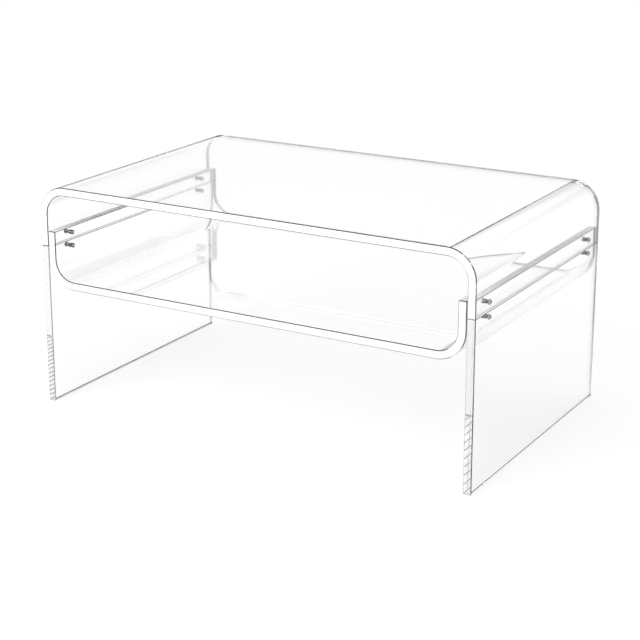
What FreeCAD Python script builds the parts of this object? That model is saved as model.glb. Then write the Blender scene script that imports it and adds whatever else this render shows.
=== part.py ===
"""Clear waterfall coffee table with a bolted lower shelf.

Four heat-bent or flat clear acrylic sheets are held by eight through-screws:
  top_sheet    a flat top whose two ends bend down into short drops
  left_leg,    flat panels that stand on the floor and butt against the drops
  right_leg
  shelf_sheet  a flat shelf whose two ends bend up into flanges; each flange laps
               the inside of a leg and of the drop above it, and so joins them
  screw_*      socket screws, put in from outside
  barrel_nut_* flat-head barrel nuts, put in from inside the shelf's flanges

Frame: millimetres, +Z up, X along the table, Y from front to back.
Origin: on the floor, under the middle of the table.
"""
import FreeCAD, Part
import math
import os

os.makedirs("parts", exist_ok=True)

# Overall sizes
table_length = 915.0        # over the outer faces of the legs
table_depth = 555.0         # front edge to back edge, the same for every sheet
table_height = 435.0        # floor to the top face

# Sheets
sheet_thickness = 16.0      # top and legs
shelf_thickness = 16.0
top_bend_radius = 40.0      # inside radius of the two waterfall bends
shelf_bend_radius = 40.0    # inside radius of the shelf's two bends
drop_straight = 62.5        # the straight part of a drop, below its bend
flange_fall = 25.0          # the straight part of a flange, below the butt joint
flange_lap = 30.0           # how far a flange reaches above the butt joint
edge_bevel = 1.5            # polished bevel along every free edge
joint_bevel = 0.5           # smaller bevel along the edges of the butt joint

# Clearances between sheets
butt_gap = 0.5              # between the end of a drop and the top of its leg
lap_gap = 0.5               # between a flange and the drop and leg outside it

# Places of the screws
screw_inset = 53.5          # from the front and back edges
upper_screw_rise = 17.5     # above the butt joint, through drop and flange
lower_screw_fall = 9.0      # below the butt joint, through leg and flange

# Screws
screw_diameter = 6.0
screw_head_diameter = 10.5
screw_head_height = 3.3
socket_width = 4.0          # across the flats of the hex socket
socket_depth = 2.0
screw_hole_clearance = 0.6  # on the diameter, in the drops and legs
screw_tip_gap = 1.5         # between a screw's tip and the end of its nut's bore

# Barrel nuts
barrel_diameter = 8.0
barrel_head_diameter = 9.5
barrel_head_height = 2.8
barrel_hole_clearance = 0.4 # on the diameter, in the flanges
barrel_end_gap = 1.0        # between a barrel's open end and the flange's outer face
barrel_floor = 1.0          # metal left in the barrel under its head
thread_clearance = 0.1      # on the diameter, between screw and barrel bore

# Worked out from the sizes above
half_length = table_length / 2
half_depth = table_depth / 2
drop_end = table_height - sheet_thickness - top_bend_radius - drop_straight
leg_height = drop_end - butt_gap
shelf_underside = leg_height - flange_fall - shelf_bend_radius - shelf_thickness
flange_end = leg_height + flange_lap
flange_half_length = half_length - sheet_thickness - lap_gap
flange_inner_face = flange_half_length - shelf_thickness
barrel_length = shelf_thickness - barrel_end_gap
bore_depth = barrel_length - barrel_floor
shank_length = sheet_thickness + lap_gap + barrel_end_gap + bore_depth - screw_tip_gap

SIDES = {"left": -1, "right": 1}
ENDS = {"front": -1, "back": 1}
ROWS = {"upper": leg_height + upper_screw_rise, "lower": leg_height - lower_screw_fall}


def point(x, z):
    """A point in the upright plane through the middle of the table's depth."""
    return FreeCAD.Vector(x, 0, z)


def bent_sheet(outer_half, flat_z, end_z, thickness, bend_radius):
    """A sheet bent through a right angle at both ends, as wide as the table is deep.

    flat_z is the height of the outer face of the flat middle, end_z the height at
    which both bent ends stop, and outer_half half the length over the bent ends.
    """
    turn = 1 if end_z > flat_z else -1
    outer_radius = bend_radius + thickness
    arc_x = outer_half - outer_radius
    arc_z = flat_z + turn * outer_radius
    diagonal = math.sqrt(0.5)

    def bend(side, radius):
        """The quarter circle of one bend, from its upright end to the flat middle."""
        return Part.Arc(
            point(side * (arc_x + radius), arc_z),
            point(side * (arc_x + radius * diagonal), arc_z - turn * radius * diagonal),
            point(side * arc_x, arc_z - turn * radius),
        ).toShape()

    def face_line(radius):
        """One face of the sheet: upright end, bend, flat middle, bend, upright end."""
        run = arc_x + radius
        flat = arc_z - turn * radius
        return [
            Part.makeLine(point(-run, end_z), point(-run, arc_z)),
            bend(-1, radius),
            Part.makeLine(point(-arc_x, flat), point(arc_x, flat)),
            bend(1, radius),
            Part.makeLine(point(run, arc_z), point(run, end_z)),
        ]

    inner_half = outer_half - thickness
    ends = [
        Part.makeLine(point(side * outer_half, end_z), point(side * inner_half, end_z))
        for side in SIDES.values()
    ]
    edges = face_line(outer_radius) + face_line(bend_radius) + ends
    outline = Part.Wire(Part.__sortEdges__(edges))
    profile = Part.Face(outline)
    profile.translate(FreeCAD.Vector(0, -half_depth, 0))
    return profile.extrude(FreeCAD.Vector(0, table_depth, 0))


def lies_at(edge, axis, value):
    """Whether a whole edge lies in the plane where its X, Y or Z equals value."""
    box = edge.BoundBox
    low, high = {
        "x": (box.XMin, box.XMax),
        "y": (box.YMin, box.YMax),
        "z": (box.ZMin, box.ZMax),
    }[axis]
    return abs(low - value) < 0.01 and abs(high - value) < 0.01


def bevel(solid, size, chosen):
    """The solid with a bevel along every edge for which chosen(edge) is true."""
    return solid.makeChamfer(size, [edge for edge in solid.Edges if chosen(edge)])


def on_end_face(edge):
    return lies_at(edge, "y", -half_depth) or lies_at(edge, "y", half_depth)


def screw_place(end, row):
    """Y and Z of one screw's axis."""
    return ENDS[end] * (half_depth - screw_inset), ROWS[row]


def hole_cutters(diameter, sides, rows):
    """Rods that drill through everything on the named sides of the table."""
    return [
        Part.makeCylinder(
            diameter / 2,
            table_length,
            FreeCAD.Vector(0, *screw_place(end, row)),
            FreeCAD.Vector(SIDES[side], 0, 0),
        )
        for side in sides
        for end in ENDS
        for row in rows
    ]


def make_top_sheet():
    sheet = bent_sheet(half_length, table_height, drop_end, sheet_thickness, top_bend_radius)
    sheet = bevel(sheet, edge_bevel, lambda e: on_end_face(e) and not lies_at(e, "z", drop_end))
    sheet = bevel(sheet, joint_bevel, lambda e: lies_at(e, "z", drop_end))
    hole = screw_diameter + screw_hole_clearance
    return sheet.cut(hole_cutters(hole, SIDES, ["upper"]))


def make_leg(side):
    inner = half_length - sheet_thickness
    low_x = inner if SIDES[side] > 0 else -half_length
    corner = FreeCAD.Vector(low_x, -half_depth, 0)
    leg = Part.makeBox(sheet_thickness, table_depth, leg_height, corner)
    leg = bevel(leg, edge_bevel, lambda e: not lies_at(e, "z", leg_height))
    leg = bevel(leg, joint_bevel, lambda e: lies_at(e, "z", leg_height))
    hole = screw_diameter + screw_hole_clearance
    return leg.cut(hole_cutters(hole, [side], ["lower"]))


def make_shelf_sheet():
    sheet = bent_sheet(
        flange_half_length, shelf_underside, flange_end, shelf_thickness, shelf_bend_radius
    )
    sheet = bevel(sheet, edge_bevel, lambda e: on_end_face(e) or lies_at(e, "z", flange_end))
    hole = barrel_diameter + barrel_hole_clearance
    return sheet.cut(hole_cutters(hole, SIDES, ROWS))


def hex_socket():
    """The space of a screw's hex socket, from its floor to the top of the head."""
    floor = screw_head_height - socket_depth
    corner_radius = socket_width / math.sqrt(3)
    corners = [
        FreeCAD.Vector(
            corner_radius * math.cos(math.radians(angle)),
            corner_radius * math.sin(math.radians(angle)),
            floor,
        )
        for angle in range(0, 361, 60)
    ]
    return Part.Face(Part.makePolygon(corners)).extrude(point(0, socket_depth))


def make_screw():
    """A socket screw along Z, its head standing on Z = 0 and its shank below."""
    head = Part.makeCylinder(screw_head_diameter / 2, screw_head_height)
    shank = Part.makeCylinder(screw_diameter / 2, shank_length, point(0, -shank_length))
    return head.fuse(shank).cut(hex_socket())


def make_barrel_nut():
    """A barrel nut along Z, its flat head standing on Z = 0 and its bored barrel below."""
    open_end = point(0, -barrel_length)
    head = Part.makeCylinder(barrel_head_diameter / 2, barrel_head_height)
    barrel = Part.makeCylinder(barrel_diameter / 2, barrel_length, open_end)
    bore = Part.makeCylinder((screw_diameter + thread_clearance) / 2, bore_depth, open_end)
    return head.fuse(barrel).cut(bore)


def place(shape, facing, x, y, z):
    """A copy with its +Z turned to face along X, its seat at the given place."""
    placed = shape.copy()
    placed.rotate(FreeCAD.Vector(0, 0, 0), FreeCAD.Vector(0, 1, 0), 90 * facing)
    placed.translate(FreeCAD.Vector(x, y, z))
    return placed


def fastener_nodes():
    """Every screw and barrel nut: two rows at the front and back of both sides."""
    screw = make_screw()
    barrel_nut = make_barrel_nut()
    nodes = {}
    for side, out in SIDES.items():
        for end in ENDS:
            for row in ROWS:
                y, z = screw_place(end, row)
                where = f"{side}_{end}_{row}"
                nodes["screw_" + where] = place(screw, out, out * half_length, y, z)
                nodes["barrel_nut_" + where] = place(
                    barrel_nut, -out, out * flange_inner_face, y, z
                )
    return nodes


def all_nodes():
    nodes = {
        "top_sheet": make_top_sheet(),
        "left_leg": make_leg("left"),
        "right_leg": make_leg("right"),
        "shelf_sheet": make_shelf_sheet(),
    }
    nodes.update(fastener_nodes())
    return nodes


for name, shape in all_nodes().items():
    shape.exportStep(f"parts/{name}.step")
    print(name, "valid", shape.isValid(), "solids", len(shape.Solids), "mm3", round(shape.Volume))
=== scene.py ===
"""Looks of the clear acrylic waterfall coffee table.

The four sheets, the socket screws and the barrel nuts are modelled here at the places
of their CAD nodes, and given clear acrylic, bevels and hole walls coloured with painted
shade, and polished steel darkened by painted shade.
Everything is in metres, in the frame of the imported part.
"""

import math

import bmesh
import bpy
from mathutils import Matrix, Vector


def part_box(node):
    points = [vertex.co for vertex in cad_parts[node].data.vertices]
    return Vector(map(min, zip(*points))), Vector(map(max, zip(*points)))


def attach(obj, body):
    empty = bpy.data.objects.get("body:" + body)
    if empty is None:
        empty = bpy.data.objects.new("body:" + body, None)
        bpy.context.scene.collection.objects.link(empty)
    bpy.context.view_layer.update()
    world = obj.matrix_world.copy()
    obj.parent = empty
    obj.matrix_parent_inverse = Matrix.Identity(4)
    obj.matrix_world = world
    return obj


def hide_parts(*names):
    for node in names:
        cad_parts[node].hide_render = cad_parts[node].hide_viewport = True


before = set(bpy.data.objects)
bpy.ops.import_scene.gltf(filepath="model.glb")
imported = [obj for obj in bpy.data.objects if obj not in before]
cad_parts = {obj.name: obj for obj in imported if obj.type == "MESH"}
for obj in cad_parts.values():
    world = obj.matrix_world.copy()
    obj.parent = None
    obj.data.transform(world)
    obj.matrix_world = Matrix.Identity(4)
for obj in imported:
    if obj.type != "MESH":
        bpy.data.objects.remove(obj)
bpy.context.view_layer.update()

MM = 0.001
WELD = 0.001 * MM              # corners nearer than this are one corner
SAME_PLACE = 0.01 * MM         # places nearer than this are the same
FACE_REACH = 0.1 * MM          # how far off a face's middle may lie from where it belongs
SQUARE_ON = 0.99               # least part of a normal along the axis that it faces

# Sheets, as they are cut, bent and bevelled
BEND_RADIUS = 40 * MM          # inside of every bend
BEND_STEPS = 48                # facets round a quarter turn
TANGENT_STRIP = 0.4 * MM       # short flats that keep a bend's shading off its neighbours
EDGE_BEVEL = 1.5 * MM
JOINT_BEVEL = 0.5 * MM
SCREW_HOLE = 6.6 * MM
BARREL_HOLE = 8.4 * MM
HOLE_SIDES = 48
DRILL_LENGTH = 80 * MM         # more than any sheet's thickness

# Fasteners, along Z with the head's seat at Z = 0
ROUND_SIDES = 48
SEAT_GAP = 0.05 * MM           # film of air under a head
SCREW_DIAMETER = 6.0 * MM
SCREW_HEAD_HEIGHT = 3.3 * MM
SCREW_RIM = 0.8 * MM           # straight rim under the dome
SCREW_FLAT = 5.6 * MM          # diameter of the flat round the socket
SOCKET_WIDTH = 4.0 * MM
SOCKET_DEPTH = 2.0 * MM
THREAD_PITCH = 1.0 * MM
THREAD_DEPTH = 0.55 * MM
THREAD_STEPS = 24
SHANK_OVERLAP = 0.5 * MM       # how far the shank reaches into the head
BARREL_DIAMETER = 8.0 * MM
NUT_HEAD_HEIGHT = 2.8 * MM
NUT_RIM = 1.0 * MM
NUT_FLAT = 3.0 * MM
NUT_BORE = 6.1 * MM
NUT_FLOOR = 1.0 * MM
DOME_RINGS = 8

# Places in a sheet's list of materials, where the bevels and hole walls carry painted shade
CLEAR, DARK_SHADE_LINE, SIDE_SHADE_LINE, GREY_SHADE_LINE, FRONT_END, REAR_END, JOINT, DRILLED = range(8)


# ---------------------------------------------------------------- modelling helpers


def select_only(piece):
    bpy.ops.object.select_all(action="DESELECT")
    piece.select_set(True)
    bpy.context.view_layer.objects.active = piece


def begin(add, **settings):
    """Adds a primitive by itself, fixes its place in its mesh and opens it for editing."""
    bpy.ops.object.select_all(action="DESELECT")
    add(**settings)
    bpy.ops.object.transform_apply(location=True, rotation=True, scale=True)
    bpy.ops.object.mode_set(mode="EDIT")
    return bpy.context.object


def end(piece, name):
    """Closes a piece's seams, turns its faces outwards and leaves edit mode."""
    bpy.ops.mesh.select_all(action="SELECT")
    bpy.ops.mesh.remove_doubles(threshold=WELD)
    bpy.ops.mesh.normals_make_consistent(inside=False)
    bpy.ops.object.mode_set(mode="OBJECT")
    piece.name = name
    piece.data.name = name
    return piece


def pick(kind, wanted):
    """Selects only the faces or edges for which wanted(element) is true."""
    bpy.ops.mesh.select_mode(type="FACE" if kind == "faces" else "EDGE")
    bpy.ops.mesh.select_all(action="DESELECT")
    mesh = bpy.context.object.data
    cage = bmesh.from_edit_mesh(mesh)
    for element in getattr(cage, kind):
        if wanted(element):
            element.select_set(True)
    bmesh.update_edit_mesh(mesh)


def middle(element):
    """The middle of an edge or face."""
    points = [corner.co for corner in element.verts]
    return sum(points, Vector()) / len(points)


def lies_at(edge, height):
    """Whether both ends of an edge are at this height."""
    return all(abs(corner.co.z - height) < SAME_PLACE for corner in edge.verts)


def pull(x=0.0, y=0.0, z=0.0):
    """Extrudes what is selected."""
    bpy.ops.mesh.extrude_region_move(TRANSFORM_OT_translate={"value": (x, y, z)})


def widen(factor):
    """Scales what is selected about the Z axis."""
    bpy.ops.transform.resize(value=(factor, factor, 1), center_override=(0, 0, 0))


def bevel_edges(size, wanted):
    pick("edges", wanted)
    bpy.ops.mesh.bevel(offset=size, offset_type="OFFSET", segments=1, affect="EDGES")


def combine(piece, tool, operation):
    """Cuts the tool out of a piece, or welds it on, and clears the tool away."""
    modifier = piece.modifiers.new(operation.lower(), "BOOLEAN")
    modifier.operation = operation
    modifier.solver = "EXACT"
    modifier.object = tool
    bpy.context.view_layer.objects.active = piece
    bpy.ops.object.modifier_apply(modifier=modifier.name)
    bpy.data.objects.remove(tool)


def smooth(piece):
    """Shades a piece smooth, but for edges that turn by more than 30 degrees."""
    select_only(piece)
    bpy.ops.object.shade_smooth_by_angle(angle=math.radians(30))


# ---------------------------------------------------------------- sheets


def drill(piece, diameter, nodes):
    """Drills a sheet for the screws or barrel nuts with these node names."""
    for node in nodes:
        low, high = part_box(node)
        centre = (low + high) / 2
        tool = begin(
            bpy.ops.mesh.primitive_cylinder_add,
            vertices=HOLE_SIDES,
            radius=diameter / 2,
            depth=DRILL_LENGTH,
            location=centre,
            rotation=(0, math.radians(90), 0),
        )
        combine(piece, end(tool, "drill"), "DIFFERENCE")


def finish_faces(piece, holes, sawn_at):
    """Gives a sheet's bevels, ends, joint faces and hole walls their finishes, the bevels and hole
    walls with painted shade.

    holes names the nodes that its holes are for, and sawn_at is the height of its sawn or
    planed faces.
    """
    low, high = Vector(piece.bound_box[0]), Vector(piece.bound_box[6])
    axes = [(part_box(node)[0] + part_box(node)[1]) / 2 for node in holes]

    def is_bevel(face):
        # Half way between two axes, so that two parts of its normal are about 0.71
        slanted = sum(0.6 < abs(part) < 0.8 for part in face.normal) == 2
        place = middle(face).z
        by_end = min(abs(place - low.z), abs(place - high.z)) < EDGE_BEVEL
        return slanted and (abs(face.normal.y) > 0.6 or by_end)

    def is_upright(face):
        return is_bevel(face) and abs(face.normal.z) < 0.01

    # The feet, the shelf's lips and the legs' front edges, whose bevels take a grey painted shade
    def is_grey_shade_line(face):
        exposed_z = high.z if "shelf" in piece.name else 0
        on_exposed_end = abs(middle(face).z - exposed_z) < EDGE_BEVEL
        foot_or_lip = is_bevel(face) and abs(face.normal.y) < 0.1 and on_exposed_end
        leg_front = "leg" in piece.name and is_upright(face) and face.normal.y < 0
        return foot_or_lip or leg_front

    # Front bevels that face right on the top and the right leg, painted their own shade by the way
    # they face
    def is_side_shade_line(face):
        faces_right = is_upright(face) and face.normal.x > 0 > face.normal.y
        return faces_right and piece.name.startswith(("top", "right"))

    def is_front_end(face):
        return face.normal.y < -SQUARE_ON

    def is_rear_end(face):
        leg_bevel = "leg" in piece.name and is_upright(face) and face.normal.y > 0
        return face.normal.y > SQUARE_ON or leg_bevel

    def is_joint(face):
        level = abs(face.normal.z) > SQUARE_ON
        return level and abs(middle(face).z - sawn_at) < FACE_REACH

    def is_drilled(face):
        place = middle(face)
        return abs(face.normal.x) < 0.1 and any(
            math.hypot(place.y - axis.y, place.z - axis.z) < BARREL_HOLE / 2 + FACE_REACH
            for axis in axes
        )

    select_only(piece)
    bpy.ops.object.mode_set(mode="EDIT")
    for place, wanted in (
        (DARK_SHADE_LINE, is_bevel),
        (GREY_SHADE_LINE, is_grey_shade_line),
        (SIDE_SHADE_LINE, is_side_shade_line),
        (FRONT_END, is_front_end),
        (REAR_END, is_rear_end),
        (JOINT, is_joint),
        (DRILLED, is_drilled),
    ):
        pick("faces", wanted)
        piece.active_material_index = place
        bpy.ops.object.material_slot_assign()
    bpy.ops.object.mode_set(mode="OBJECT")


def bend_and_run(side, turn, arc_x, arc_z, run):
    """Bends one end of a sheet a quarter turn up (1) or down (-1), then runs it straight."""
    end_x = side * (arc_x - TANGENT_STRIP)
    pick("faces", lambda face: abs(middle(face).x - end_x) < SAME_PLACE)
    pull(x=side * TANGENT_STRIP)
    bpy.ops.mesh.spin(
        steps=BEND_STEPS,
        angle=math.radians(90) * side * turn,
        center=(side * arc_x, 0, arc_z),
        axis=(0, 1, 0),
    )
    pull(z=turn * TANGENT_STRIP)
    pull(z=turn * (run - TANGENT_STRIP))


def bent_sheet(node, turn, end_bevel):
    """A sheet with both ends bent, up for turn 1 and down for turn -1."""
    low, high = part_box(node)
    leg_low, leg_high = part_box("left_leg")
    thickness = leg_high.x - leg_low.x
    outer_radius = BEND_RADIUS + thickness
    arc_x = high.x - outer_radius
    flat_z, end_z = (low.z, high.z) if turn > 0 else (high.z, low.z)
    arc_z = flat_z + turn * outer_radius
    flat_half = arc_x - TANGENT_STRIP
    sheet = begin(
        bpy.ops.mesh.primitive_cube_add,
        size=1,
        location=(0, 0, flat_z + turn * thickness / 2),
        scale=(2 * flat_half, high.y - low.y, thickness),
    )
    bevel_edges(EDGE_BEVEL, lambda edge: abs(middle(edge).x) < MM)
    for side in (-1, 1):
        bend_and_run(side, turn, arc_x, arc_z, abs(end_z - arc_z))
    bevel_edges(end_bevel, lambda edge: lies_at(edge, end_z))
    return end(sheet, node + "_acrylic")


def flat_leg(node):
    low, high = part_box(node)
    leg = begin(
        bpy.ops.mesh.primitive_cube_add, size=1, location=(low + high) / 2, scale=high - low
    )
    bevel_edges(EDGE_BEVEL, lambda edge: not lies_at(edge, high.z))
    bevel_edges(JOINT_BEVEL, lambda edge: lies_at(edge, high.z))
    return end(leg, node + "_acrylic")


# ---------------------------------------------------------------- fasteners


def dome(rim_radius, flat_radius, rim, top):
    """Pulls a round face at Z = rim up into a dome that ends in a flat at Z = top."""
    rise = top - rim
    sphere = (rim_radius**2 - flat_radius**2 + rise**2) / (2 * rise)
    radius = math.hypot(rim_radius, sphere - rise)
    start = math.asin(rim_radius / radius)
    stop = math.asin(flat_radius / radius)
    last_radius, last_z = rim_radius, rim
    for ring in range(1, DOME_RINGS + 1):
        angle = start + (stop - start) * ring / DOME_RINGS
        ring_radius = radius * math.sin(angle)
        ring_z = rim + radius * (math.cos(angle) - math.cos(start))
        pull(z=ring_z - last_z)
        widen(ring_radius / last_radius)
        last_radius, last_z = ring_radius, ring_z


def threaded_shank(diameter, length):
    """A helical thread swept about Z and cut off square at both ends."""
    crest, root = diameter / 2, diameter / 2 - THREAD_DEPTH
    # Longer than the shank at both ends, which are cut off square after the sweep
    turns = round((length + 1 * MM) / THREAD_PITCH) + 2
    shank = begin(bpy.ops.mesh.primitive_plane_add, size=THREAD_PITCH)
    bpy.ops.mesh.delete(type="VERT")
    bpy.ops.object.mode_set(mode="OBJECT")
    start = -length - 1.5 * THREAD_PITCH
    # One turn's outline: radius, and height as a share of the pitch
    tooth = [(root, 0.0), (root, 0.1), (crest, 0.42), (crest, 0.58), (root, 0.9), (root, 1.0)]
    points = [(radius, 0, start + share * THREAD_PITCH) for radius, share in tooth]
    shank.data.from_pydata(points, [(i, i + 1) for i in range(len(points) - 1)], [])
    sweep = shank.modifiers.new("sweep", "SCREW")
    sweep.axis = "Z"
    sweep.screw_offset = THREAD_PITCH
    sweep.iterations = turns
    sweep.steps = THREAD_STEPS
    sweep.render_steps = THREAD_STEPS
    sweep.use_merge_vertices = True
    sweep.merge_threshold = WELD
    bpy.ops.object.modifier_apply(modifier=sweep.name)
    bpy.ops.object.mode_set(mode="EDIT")
    for height, outwards in ((-length, -1), (SHANK_OVERLAP, 1)):
        bpy.ops.mesh.select_all(action="SELECT")
        bpy.ops.mesh.bisect(
            plane_co=(0, 0, height),
            plane_no=(0, 0, outwards),
            use_fill=True,
            clear_outer=True,
            threshold=WELD,
        )
    return end(shank, "shank")


def socket_screw(low, high):
    """A button-head socket screw, its seat at Z = 0."""
    head_radius = (high.y - low.y) / 2
    length = high.x - low.x - SCREW_HEAD_HEIGHT
    head = begin(
        bpy.ops.mesh.primitive_cylinder_add,
        vertices=ROUND_SIDES,
        radius=head_radius,
        depth=SCREW_RIM - SEAT_GAP,
        location=(0, 0, (SCREW_RIM + SEAT_GAP) / 2),
    )
    pick("faces", lambda face: face.normal.z > SQUARE_ON)
    dome(head_radius, SCREW_FLAT / 2, SCREW_RIM, SCREW_HEAD_HEIGHT)
    end(head, "socket_screw")
    socket = begin(
        bpy.ops.mesh.primitive_cylinder_add,
        vertices=6,
        radius=SOCKET_WIDTH / math.sqrt(3),
        depth=2 * SOCKET_DEPTH,
        location=(0, 0, SCREW_HEAD_HEIGHT),
    )
    combine(head, end(socket, "socket"), "DIFFERENCE")
    combine(head, threaded_shank(SCREW_DIAMETER, length), "UNION")
    smooth(head)
    return head


def barrel_nut(low, high):
    """A domed barrel nut, its seat at Z = 0."""
    head_radius = (high.y - low.y) / 2
    length = high.x - low.x - NUT_HEAD_HEIGHT
    nut = begin(
        bpy.ops.mesh.primitive_cylinder_add,
        vertices=ROUND_SIDES,
        radius=BARREL_DIAMETER / 2,
        depth=length + SEAT_GAP,
        location=(0, 0, (SEAT_GAP - length) / 2),
    )
    pick("faces", lambda face: face.normal.z < -SQUARE_ON)
    bpy.ops.mesh.inset(thickness=(BARREL_DIAMETER - NUT_BORE) / 2)
    pull(z=length - NUT_FLOOR)
    pick("faces", lambda face: face.normal.z > SQUARE_ON)
    pull()
    widen(2 * head_radius / BARREL_DIAMETER)
    pull(z=NUT_RIM - SEAT_GAP)
    dome(head_radius, NUT_FLAT / 2, NUT_RIM, NUT_HEAD_HEIGHT)
    end(nut, "barrel_nut")
    smooth(nut)
    return nut


def fit(pattern, node, facing):
    """A copy of a fastener in the place of its node, its head facing out along X."""
    low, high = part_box(node)
    head_height = SCREW_HEAD_HEIGHT if node.startswith("screw") else NUT_HEAD_HEIGHT
    seat_x = high.x - head_height if facing > 0 else low.x + head_height
    copy = pattern.copy()
    copy.data = pattern.data.copy()
    copy.name = copy.data.name = node + "_steel"
    bpy.context.scene.collection.objects.link(copy)
    copy.rotation_euler = (0, math.radians(90) * facing, 0)
    copy.location = (seat_x, (low.y + high.y) / 2, (low.z + high.z) / 2)
    select_only(copy)
    bpy.ops.object.transform_apply(location=True, rotation=True, scale=True)
    return copy


# ---------------------------------------------------------------- surface effects

# Patches to the metre where a blade's strokes wander, and where it presses harder
STROKE_WANDER, STROKE_PRESSURE = 90, 220
SCRATCH_STRETCH = (1, 12, 12)  # scratches are twelve times as long as they are apart
ALONG_EDGES = (1, 1, 1)        # counts up along every edge of the table
ALONG_X, ALONG_Y = (1, 0, 0), (0, 1, 0)


def wire(tree, source, target):
    tree.links.new(source, target)


def add_node(tree, kind, **settings):
    node = tree.nodes.new("ShaderNode" + kind)
    for name, value in settings.items():
        setattr(node, name, value)
    return node


def maths(tree, operation, *values):
    node = add_node(tree, "Math", operation=operation)
    for socket, value in zip(node.inputs, values):
        if isinstance(value, (int, float)):
            socket.default_value = value
        else:
            wire(tree, value, socket)
    return node.outputs[0]


def spread(tree, value, from_low, from_high, to_low, to_high):
    """Carries a value from one range to another, held inside the second."""
    node = add_node(tree, "MapRange")
    wire(tree, value, node.inputs["Value"])
    ends = {"From Min": from_low, "From Max": from_high, "To Min": to_low, "To Max": to_high}
    for name, number in ends.items():
        node.inputs[name].default_value = number
    return node.outputs["Result"]


def noise(tree, place, scale, detail):
    node = add_node(tree, "TexNoise")
    wire(tree, place, node.inputs["Vector"])
    node.inputs["Detail"].default_value = detail
    if isinstance(scale, (int, float)):
        node.inputs["Scale"].default_value = scale
    else:
        wire(tree, scale, node.inputs["Scale"])
    return node.outputs["Fac"]


def new_effect(name, inputs, output):
    """A node group with these inputs, and what its inside reads from and writes to."""
    tree = bpy.data.node_groups.new(name, "ShaderNodeTree")
    for label, kind in inputs.items():
        tree.interface.new_socket(label, in_out="INPUT", socket_type="NodeSocket" + kind)
    tree.interface.new_socket(output, in_out="OUTPUT", socket_type="NodeSocketFloat")
    given = tree.nodes.new("NodeGroupInput").outputs
    result = tree.nodes.new("NodeGroupOutput").inputs[output]
    return tree, given, result


def make_cloudiness():
    """Soft patches between 0 and 1, each about one Size across."""
    tree, given, result = new_effect(
        "cloudiness", {"Place": "Vector", "Size": "Float"}, "Shade"
    )
    patches = noise(tree, given["Place"], maths(tree, "DIVIDE", 1.0, given["Size"]), 4)
    wire(tree, spread(tree, patches, 0.3, 0.7, 0, 1), result)
    return tree


def make_tool_marks():
    """Uneven ripples between 0 and 1 that a blade leaves, one Pitch apart along an Axis."""
    tree, given, result = new_effect(
        "tool_marks", {"Place": "Vector", "Axis": "Vector", "Pitch": "Float"}, "Height"
    )
    along = add_node(tree, "VectorMath", operation="DOT_PRODUCT")
    wire(tree, given["Place"], along.inputs[0])
    wire(tree, given["Axis"], along.inputs[1])
    strokes = maths(tree, "DIVIDE", along.outputs["Value"], given["Pitch"])
    wander = noise(tree, given["Place"], STROKE_WANDER, 2)
    turn = maths(tree, "MULTIPLY", maths(tree, "MULTIPLY_ADD", wander, 2.0, strokes), math.tau)
    ripple = maths(tree, "MULTIPLY_ADD", maths(tree, "SINE", turn), 0.5, 0.5)
    pressed = noise(tree, given["Place"], STROKE_PRESSURE, 3)
    pressure = spread(tree, pressed, 0.35, 0.65, 0.2, 1)
    wire(tree, maths(tree, "MULTIPLY", ripple, pressure), result)
    return tree


def make_hairlines():
    """Fine, short, nearly straight scratches in two directions, 1 on a scratch and 0 off it."""
    tree, given, result = new_effect(
        "hairlines", {"Place": "Vector", "Spacing": "Float", "Width": "Float"}, "Scratch"
    )
    scale = maths(tree, "DIVIDE", 1.0, given["Spacing"])
    sets = []
    for turns in ((20, 35, 0), (-40, 10, 65)):
        turned = add_node(tree, "Mapping", vector_type="TEXTURE")
        wire(tree, given["Place"], turned.inputs["Vector"])
        turned.inputs["Rotation"].default_value = [math.radians(turn) for turn in turns]
        turned.inputs["Scale"].default_value = SCRATCH_STRETCH
        lines = noise(tree, turned.outputs["Vector"], scale, 0)
        off = maths(tree, "ABSOLUTE", maths(tree, "SUBTRACT", lines, 0.5))
        off = maths(tree, "DIVIDE", maths(tree, "MULTIPLY", off, given["Spacing"]), given["Width"])
        sets.append(maths(tree, "SUBTRACT", 1.0, off))
    scratches = maths(tree, "MAXIMUM", maths(tree, "MAXIMUM", *sets), 0.0)
    pressed = spread(tree, noise(tree, given["Place"], scale, 1), 0.45, 0.6, 0, 1)
    wire(tree, maths(tree, "MULTIPLY", scratches, pressed), result)
    return tree


CLOUDINESS, TOOL_MARKS, HAIRLINES = make_cloudiness(), make_tool_marks(), make_hairlines()


def new_material(name):
    material = bpy.data.materials.new(name)
    material.use_nodes = True
    tree = material.node_tree
    return material, tree, tree.nodes["Principled BSDF"]


def place_effect(tree, effect, **values):
    """Puts an effect in a material with its own values, and gives what it puts out."""
    node = add_node(tree, "Group", node_tree=effect)
    coordinates = add_node(tree, "TexCoord")
    wire(tree, coordinates.outputs["Object"], node.inputs["Place"])
    for name, value in values.items():
        node.inputs[name].default_value = value
    return node.outputs[0]


# A Mix node's colours, among the sockets that it has for every kind of value
FIRST_COLOUR, SECOND_COLOUR, MIXED_COLOUR = 6, 7, 2


def tint(tree, shader, factor, first, second):
    """The base colour, running from the first to the second with the factor."""
    mix = add_node(tree, "Mix", data_type="RGBA")
    wire(tree, factor, mix.inputs["Factor"])
    mix.inputs[FIRST_COLOUR].default_value = (*first, 1)
    mix.inputs[SECOND_COLOUR].default_value = (*second, 1)
    wire(tree, mix.outputs[MIXED_COLOUR], shader.inputs["Base Color"])


def roughen(tree, shader, factor, low, high):
    """The roughness, running from low to high with the factor."""
    wire(tree, spread(tree, factor, 0, 1, low, high), shader.inputs["Roughness"])


def relief(tree, shader, height, depth):
    """Raises the surface by up to depth where the height is 1."""
    bump = add_node(tree, "Bump")
    bump.inputs["Distance"].default_value = depth
    wire(tree, height, bump.inputs["Height"])
    wire(tree, bump.outputs["Normal"], shader.inputs["Normal"])


# ---------------------------------------------------------------- finishes

ACRYLIC_IOR = 1.49
ROUGH, FINE = 0.01 * MM, 0.002 * MM    # depths of the marks that tools and cloths leave


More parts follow.
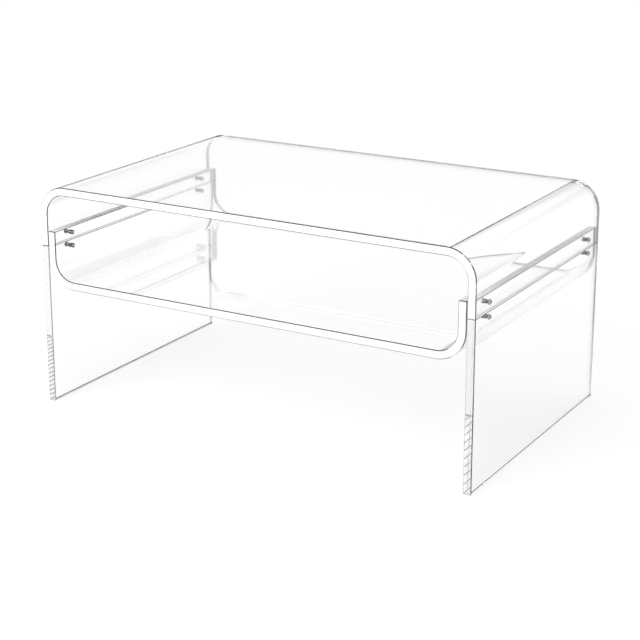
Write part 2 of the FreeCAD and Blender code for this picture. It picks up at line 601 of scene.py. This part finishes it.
def acrylic(name, see_through):
    """An acrylic finish: 1 lets all light through, and 0 is frosted."""
    material, tree, shader = new_material(name)
    shader.inputs["IOR"].default_value = ACRYLIC_IOR
    shader.inputs["Transmission Weight"].default_value = see_through
    return material, tree, shader


def grey(level):
    return (level, level, level)


def clear_acrylic():
    """The cast faces: faintly wavy and a little cloudy, with wiping scratches."""
    material, tree, shader = acrylic("clear_acrylic", 1.0)
    haze = place_effect(tree, CLOUDINESS, Size=45 * MM)
    wave = place_effect(tree, CLOUDINESS, Size=120 * MM)
    scratch = place_effect(tree, HAIRLINES, Spacing=35 * MM, Width=0.12 * MM)
    tint(tree, shader, haze, (0.988, 0.99, 0.992), (0.996, 0.996, 0.997))
    smudge = maths(tree, "MULTIPLY_ADD", haze, 0.1, maths(tree, "MULTIPLY", scratch, 0.9))
    roughen(tree, shader, smudge, 0.0, 0.1)
    relief(tree, shader, wave, FINE)
    return material


def bevel_with_painted_shade(name, see_through, shades, roughness, chatter):
    """A bevel whose colour is painted shade for the outline lines, with the chatter of the scraper
    across it and small nicks.
    """
    material, tree, shader = acrylic(name, see_through)
    marks = place_effect(tree, TOOL_MARKS, Axis=ALONG_EDGES, Pitch=2.6 * MM)
    nicks = place_effect(tree, HAIRLINES, Spacing=9 * MM, Width=0.3 * MM)
    worn = place_effect(tree, CLOUDINESS, Size=14 * MM)
    dark, light = shades
    # Painted shade: the base colour runs between a darker and a lighter shade at random along the
    # bevel
    tint(tree, shader, maths(tree, "MAXIMUM", worn, nicks), grey(dark), grey(light))
    roughen(tree, shader, maths(tree, "MAXIMUM", marks, nicks), *roughness)
    relief(tree, shader, marks, chatter)
    return material


def sanded_edge():
    """The front ends of the bent sheets, sanded white along their length."""
    material, tree, shader = acrylic("sanded_edge", 0.25)
    grain = place_effect(tree, CLOUDINESS, Size=1.2 * MM)
    strokes = place_effect(tree, TOOL_MARKS, Axis=ALONG_EDGES, Pitch=0.7 * MM)
    tint(tree, shader, grain, grey(0.92), grey(1.0))
    roughen(tree, shader, grain, 0.12, 0.2)
    relief(tree, shader, strokes, FINE)
    return material


def polished_edge():
    """The ends of the legs and the rear ends, sanded finer and flame-polished."""
    material, tree, shader = acrylic("polished_edge", 0.75)
    ripple = place_effect(tree, CLOUDINESS, Size=6 * MM)
    scratch = place_effect(tree, HAIRLINES, Spacing=12 * MM, Width=0.1 * MM)
    tint(tree, shader, ripple, grey(0.985), grey(1.0))
    roughen(tree, shader, scratch, 0.01, 0.12)
    relief(tree, shader, ripple, 0.0005 * MM)
    return material


def planed_joint():
    """The faces of the butt joints, with the marks of the planer across them."""
    material, tree, shader = acrylic("planed_joint", 0.75)
    marks = place_effect(tree, TOOL_MARKS, Axis=ALONG_Y, Pitch=1.8 * MM)
    haze = place_effect(tree, CLOUDINESS, Size=20 * MM)
    tint(tree, shader, haze, grey(0.42), grey(0.54))
    roughen(tree, shader, marks, 0.08, 0.14)
    relief(tree, shader, marks, 0.001 * MM)
    return material


def sawn_end():
    """The tops of the shelf's flanges, left matt and pinkish by the saw."""
    material, tree, shader = acrylic("sawn_end", 0.1)
    marks = place_effect(tree, TOOL_MARKS, Axis=ALONG_Y, Pitch=2.4 * MM)
    haze = place_effect(tree, CLOUDINESS, Size=30 * MM)
    shade = maths(tree, "MULTIPLY_ADD", marks, 0.4, maths(tree, "MULTIPLY", haze, 0.6))
    tint(tree, shader, shade, (0.69, 0.67, 0.69), (0.76, 0.74, 0.76))
    roughen(tree, shader, marks, 0.42, 0.58)
    relief(tree, shader, marks, ROUGH)
    return material


def hole_wall_with_painted_shade():
    """The walls of the holes, ringed by the drill's feed, and painted near black as shade."""
    material, tree, shader = acrylic("hole_wall_with_painted_shade", 0.2)
    rings = place_effect(tree, TOOL_MARKS, Axis=ALONG_X, Pitch=0.35 * MM)
    # Painted shade: near-black hole walls
    tint(tree, shader, rings, grey(0.03), grey(0.08))
    roughen(tree, shader, rings, 0.33, 0.47)
    relief(tree, shader, rings, ROUGH)
    return material


def polished_steel():
    """Stainless steel, polished but fingered, with fine handling scratches, its colour darkened by
    painted shade.
    """
    material, tree, shader = new_material("polished_steel")
    shader.inputs["Metallic"].default_value = 1.0
    smear = place_effect(tree, CLOUDINESS, Size=2.5 * MM)
    scratch = place_effect(tree, HAIRLINES, Spacing=2 * MM, Width=0.05 * MM)
    # Partly the steel's own colour, partly painted shade that darkens it
    tint(tree, shader, smear, (0.37, 0.37, 0.38), (0.44, 0.44, 0.45))
    roughen(tree, shader, maths(tree, "MAXIMUM", smear, scratch), 0.09, 0.2)
    relief(tree, shader, scratch, FINE)
    return material


# ---------------------------------------------------------------- the table

screws = [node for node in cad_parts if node.startswith("screw_")]
barrel_nuts = [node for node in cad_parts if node.startswith("barrel_nut_")]
clear, steel = clear_acrylic(), polished_steel()
# Bevels coloured with painted shade that draws the outline lines
dark_shade_bevel = bevel_with_painted_shade(
    "bevel_with_dark_painted_shade", see_through=0.2, shades=(0.012, 0.035), roughness=(0.25, 0.38), chatter=ROUGH
)
# Pale grey and near-black painted shade for the bevels that face right
pale_side_shade_bevel = bevel_with_painted_shade(
    "light_buffed_bevel", see_through=1.0, shades=(0.55, 0.65), roughness=(0.03, 0.08), chatter=FINE
)
dark_side_shade_bevel = bevel_with_painted_shade(
    "dark_buffed_bevel", see_through=1.0, shades=(0.03, 0.06), roughness=(0.03, 0.08), chatter=FINE
)
# Grey painted shade, for lighter outline lines on the feet, lips and legs' front edges
grey_shade_bevel = bevel_with_painted_shade(
    "bevel_with_grey_painted_shade", see_through=0.2, shades=(0.3, 0.45), roughness=(0.35, 0.55), chatter=ROUGH
)
sanded, polished, hole_shade = sanded_edge(), polished_edge(), hole_wall_with_painted_shade()
planed, sawn = planed_joint(), sawn_end()


def of(nodes, *words):
    """The node names that hold every one of these words."""
    return [node for node in nodes if all(word in node for word in words)]


sheets = {
    "top_sheet": (bent_sheet("top_sheet", -1, JOINT_BEVEL), SCREW_HOLE, of(screws, "upper")),
    "left_leg": (flat_leg("left_leg"), SCREW_HOLE, of(screws, "left", "lower")),
    "right_leg": (flat_leg("right_leg"), SCREW_HOLE, of(screws, "right", "lower")),
    "shelf_sheet": (bent_sheet("shelf_sheet", 1, EDGE_BEVEL), BARREL_HOLE, barrel_nuts),
}
for node, (piece, hole, fasteners) in sheets.items():
    drill(piece, hole, fasteners)
    piece.data.materials.clear()
    front_finish = polished if node.endswith("leg") else sanded
    joint_finish = sawn if node == "shelf_sheet" else planed
    # The right leg's right-facing bevels take the near-black painted shade, and the top's take the
    # pale one
    side_shade_bevel = dark_side_shade_bevel if node == "right_leg" else pale_side_shade_bevel
    bevels = (dark_shade_bevel, side_shade_bevel, grey_shade_bevel)
    for finish in (clear, *bevels, front_finish, polished, joint_finish, hole_shade):
        piece.data.materials.append(finish)
    low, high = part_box(node)
    finish_faces(piece, fasteners, low.z if node == "top_sheet" else high.z)
    smooth(piece)
    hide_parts(node)
    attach(piece, "root")

screw_pattern = socket_screw(*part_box("screw_right_front_upper"))
nut_pattern = barrel_nut(*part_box("barrel_nut_right_front_upper"))
for pattern, nodes, outwards in ((screw_pattern, screws, 1), (nut_pattern, barrel_nuts, -1)):
    pattern.data.materials.clear()
    pattern.data.materials.append(steel)
    for node in nodes:
        side = -1 if "_left_" in node else 1
        piece = fit(pattern, node, side * outwards)
        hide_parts(node)
        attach(piece, "root")
    bpy.data.objects.remove(pattern)


# ---------------------------------------------------------------- studio


FLOOR_WIDTH = 60
FLOOR_DROP = 0.3 * MM          # how far the floor lies under the feet
FLOOR_GLOW = 0.83              # makes the floor as bright as the background

# Each of the ranges below has a value's two ends, and what stands for each of them.
# The floor's shade goes by Y for light mirrored inside a sheet, and by X for light mirrored
# by an outer face
FRONT_SHADE = (0.28, -0.25, 0, 0.85)
LEFT_SHADE = (-0.9, -1.5, 0, 0.95)

# Brightness of the studio's walls and ceiling by elevation in degrees
INSIDE = ((0, 1.0), (31, 1.0), (34, 0.05))
MIRRORED = (
    (-6, 0.9), (-4, 0.02), (9, 0.02), (10.5, 0.95), (18.5, 0.95), (20, 0.02), (24, 0.02), (26, 0.95)
)
# By direction, the front is dark for light mirrored twice, and the walls have their dark
# bands only at the back left, so none on the right, in front or straight behind
FRONT_DARK = (-0.1, -0.4, 0, 0.95)
RIGHT_LIGHT = (0.1, 0.3, 0, 0.95)
FRONT_LIGHT = (0.1, -0.1, 0, 0.95)
BACK_LIGHT = (0.92, 0.96, 0, 0.95)

STUDIO_LIGHT = 1.1             # of the light that falls on things from all round
SOFTBOX_PLACE = (-0.8, -2.4, 2.0)
SOFTBOX_AIM = (0, 0, 0.3)
SOFTBOX_SIZE = (2.4, 1.6)
SOFTBOX_WATTS = 90


def in_view(tree, path, strength=1.0):
    """The strength for what the camera sees, directly, mirrored or through a sheet, and 0
    for the light that falls on things.
    """
    mask = path.outputs["Is Camera Ray"]
    for name in ("Is Glossy Ray", "Is Transmission Ray"):
        mask = maths(tree, "MAXIMUM", mask, path.outputs[name])
    return maths(tree, "MULTIPLY", mask, strength)


def mirrored_inside(tree, path):
    """1 for light that was mirrored inside a sheet before it left it, and 0 otherwise."""
    mirrored = maths(tree, "GREATER_THAN", path.outputs["Glossy Depth"], 0.5)
    return maths(tree, "MULTIPLY", mirrored, path.outputs["Is Transmission Ray"])


def mirrored_outside(tree, path):
    """1 for light mirrored by an outer face, and 0 for light that came through a sheet."""
    through = path.outputs["Is Transmission Ray"]
    return maths(tree, "SUBTRACT", path.outputs["Is Glossy Ray"], through)


def mirrored_twice(tree, path):
    """1 for light that was mirrored at least twice, and 0 otherwise."""
    return maths(tree, "GREATER_THAN", path.outputs["Glossy Depth"], 1.5)


def straight_through(tree, path):
    """1 for light that came through the sheets without being mirrored, and 0 otherwise."""
    through = path.outputs["Is Transmission Ray"]
    return maths(tree, "SUBTRACT", through, mirrored_inside(tree, path))


def make_floor():
    """A pale floor, shaded in places for light that a sheet mirrors on its way."""
    bpy.ops.object.select_all(action="DESELECT")
    bpy.ops.mesh.primitive_plane_add(size=FLOOR_WIDTH, location=(0, 0, -FLOOR_DROP))
    floor = bpy.context.object
    floor.name = "floor"
    bpy.ops.object.transform_apply(location=True, rotation=True, scale=True)
    material, tree, shader = new_material("pale_floor")
    shader.inputs["Roughness"].default_value = 1.0
    shader.inputs["Specular IOR Level"].default_value = 0.0
    shader.inputs["Emission Color"].default_value = (1, 1, 1, 1)
    tint(tree, shader, place_effect(tree, CLOUDINESS, Size=0.4), grey(0.147), grey(0.153))
    path = add_node(tree, "LightPath")
    split = add_node(tree, "SeparateXYZ")
    wire(tree, add_node(tree, "TexCoord").outputs["Object"], split.inputs[0])
    front = spread(tree, split.outputs["Y"], *FRONT_SHADE)
    left = spread(tree, split.outputs["X"], *LEFT_SHADE)
    inside = maths(tree, "MULTIPLY", mirrored_inside(tree, path), front)
    outside = maths(tree, "MULTIPLY", mirrored_outside(tree, path), left)
    kept = maths(tree, "SUBTRACT", 1.0, maths(tree, "MAXIMUM", inside, outside))
    level = maths(tree, "MULTIPLY", in_view(tree, path, FLOOR_GLOW), kept)
    wire(tree, level, shader.inputs["Emission Strength"])
    floor.data.materials.append(material)


def by_elevation(tree, height, stops):
    """Brightness by elevation, where height is how high a direction points, from -1 to 1."""
    ramp = add_node(tree, "ValToRGB")
    wire(tree, maths(tree, "MULTIPLY_ADD", height, 0.5, 0.5), ramp.inputs["Fac"])
    points = ramp.color_ramp.elements
    while len(points) < len(stops):
        points.new(0.5)
    for point, (degrees, level) in zip(points, stops):
        point.position = 0.5 + 0.5 * math.sin(math.radians(degrees))
        point.color = (level, level, level, 1)
    return ramp.outputs["Color"]


def blend(tree, factor, first, second):
    """A value that runs from the first to the second with the factor."""
    node = add_node(tree, "Mix")
    for socket, value in zip(("Factor", "A", "B"), (factor, first, second)):
        wire(tree, value, node.inputs[socket])
    return node.outputs["Result"]


def make_world():
    """Walls and ceiling that are white where seen, and banded only for mirrored light."""
    world = bpy.data.worlds.new("studio")
    bpy.context.scene.world = world
    world.use_nodes = True
    tree = world.node_tree
    background = tree.nodes["Background"]
    path = add_node(tree, "LightPath")
    direction = add_node(tree, "TexCoord")
    split = add_node(tree, "SeparateXYZ")
    wire(tree, direction.outputs["Generated"], split.inputs[0])
    inside = by_elevation(tree, split.outputs["Z"], INSIDE)
    mirrored = by_elevation(tree, split.outputs["Z"], MIRRORED)
    for axis, sector in (("X", RIGHT_LIGHT), ("Y", FRONT_LIGHT), ("Y", BACK_LIGHT)):
        without_bands = spread(tree, split.outputs[axis], *sector)
        mirrored = maths(tree, "MAXIMUM", mirrored, without_bands)
    studio = blend(tree, path.outputs["Is Transmission Ray"], mirrored, inside)
    front = spread(tree, split.outputs["Y"], *FRONT_DARK)
    front = maths(tree, "MULTIPLY", front, mirrored_twice(tree, path))
    studio = maths(tree, "MULTIPLY", studio, maths(tree, "SUBTRACT", 1.0, front))
    for mask in (straight_through(tree, path), path.outputs["Is Camera Ray"]):
        studio = maths(tree, "MAXIMUM", studio, mask)
    seen = in_view(tree, path)
    level = add_node(tree, "Mix")
    wire(tree, seen, level.inputs["Factor"])
    level.inputs["A"].default_value = STUDIO_LIGHT
    wire(tree, studio, level.inputs["B"])
    wire(tree, level.outputs["Result"], background.inputs["Strength"])
    background.inputs["Color"].default_value = (1, 1, 1, 1)


def make_softbox():
    light = bpy.data.lights.new("softbox", "AREA")
    light.shape = "RECTANGLE"
    light.size, light.size_y = SOFTBOX_SIZE
    light.energy = SOFTBOX_WATTS
    box = bpy.data.objects.new("softbox", light)
    bpy.context.scene.collection.objects.link(box)
    box.location = SOFTBOX_PLACE
    aim = Vector(SOFTBOX_AIM) - box.location
    box.rotation_euler = aim.to_track_quat("-Z", "Y").to_euler()


CAMERA_PLACE = Vector((1.5736, -2.7098, 1.1973))
CAMERA_AZIMUTH = math.radians(30.18)
CAMERA_PITCH = math.radians(16.13)
SENSOR_WIDTH = 36              # millimetres, as is the lens
LENS = 95.18
LENS_SHIFT = -0.10             # share of the picture's width


def make_camera():
    data = bpy.data.cameras.new("camera")
    data.sensor_width = SENSOR_WIDTH
    data.lens = LENS
    data.shift_y = LENS_SHIFT
    data.clip_end = 100
    camera = bpy.data.objects.new("camera", data)
    bpy.context.scene.collection.objects.link(camera)
    camera.location = CAMERA_PLACE
    camera.rotation_euler = (math.radians(90) - CAMERA_PITCH, 0, CAMERA_AZIMUTH)
    bpy.context.scene.camera = camera


make_floor()
make_world()
make_softbox()
make_camera()

LIGHT_BOUNCES = 64             # enough for light that is led along inside the sheets

scene = bpy.context.scene
scene.view_settings.view_transform = "Standard"
scene.cycles.max_bounces = LIGHT_BOUNCES
scene.cycles.transmission_bounces = LIGHT_BOUNCES
scene.cycles.glossy_bounces = LIGHT_BOUNCES
